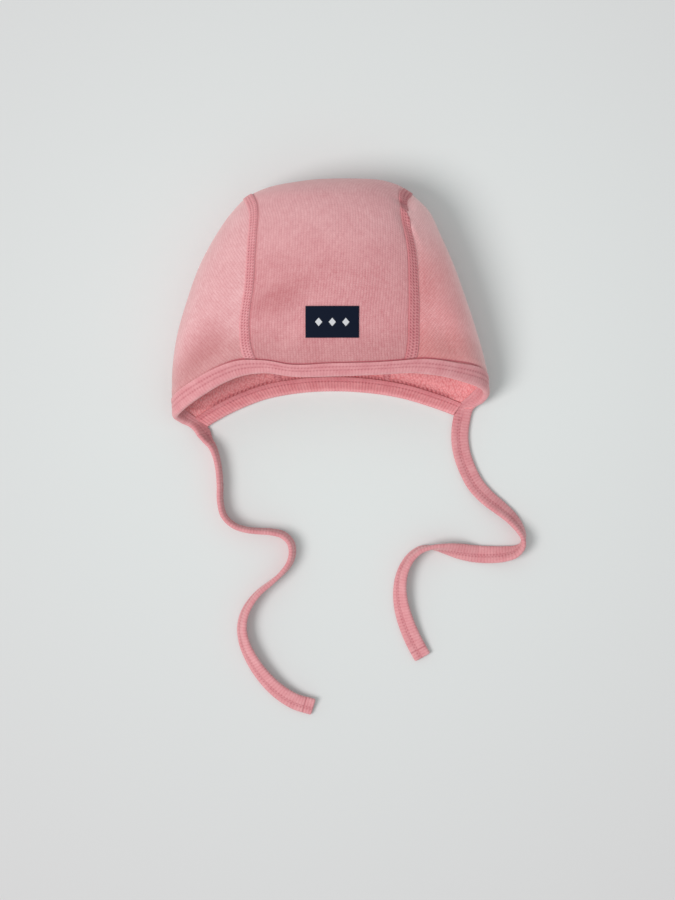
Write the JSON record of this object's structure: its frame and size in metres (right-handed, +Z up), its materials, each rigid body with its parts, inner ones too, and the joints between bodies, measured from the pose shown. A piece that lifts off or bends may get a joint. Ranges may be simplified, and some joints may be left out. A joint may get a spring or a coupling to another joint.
{
  "type": "baby's helmet hat with chin ties",
  "caption": "Soft knitted baby bonnet of seamed panels, with a folded rib binding round its opening and long chin ties, lying on its back, open towards -Y.",
  "frame": {"origin": "on the surface that the hat lies on, below the middle of its box without the ties", "axes": "+X across the hat, to the right as one looks down on it with the crown away, +Y towards the crown, +Z up from the nape to the forehead"},
  "size_m": [0.2229, 0.3342, 0.0647],
  "materials": {
    "cotton_knit": "matte fine rib knit, dusty pink",
    "rib_binding": "matte folded rib, dusty pink",
    "woven_label": "fine woven polyester, navy, slight sheen"
  },
  "bodies": {
    "root": {"centre_panel": "cotton_knit", "side_panel_left": "cotton_knit", "side_panel_right": "cotton_knit", "front_binding": "rib_binding", "nape_binding": "rib_binding", "tie_left": "rib_binding", "tie_right": "rib_binding", "label": "woven_label"}
  },
  "joints": []
}
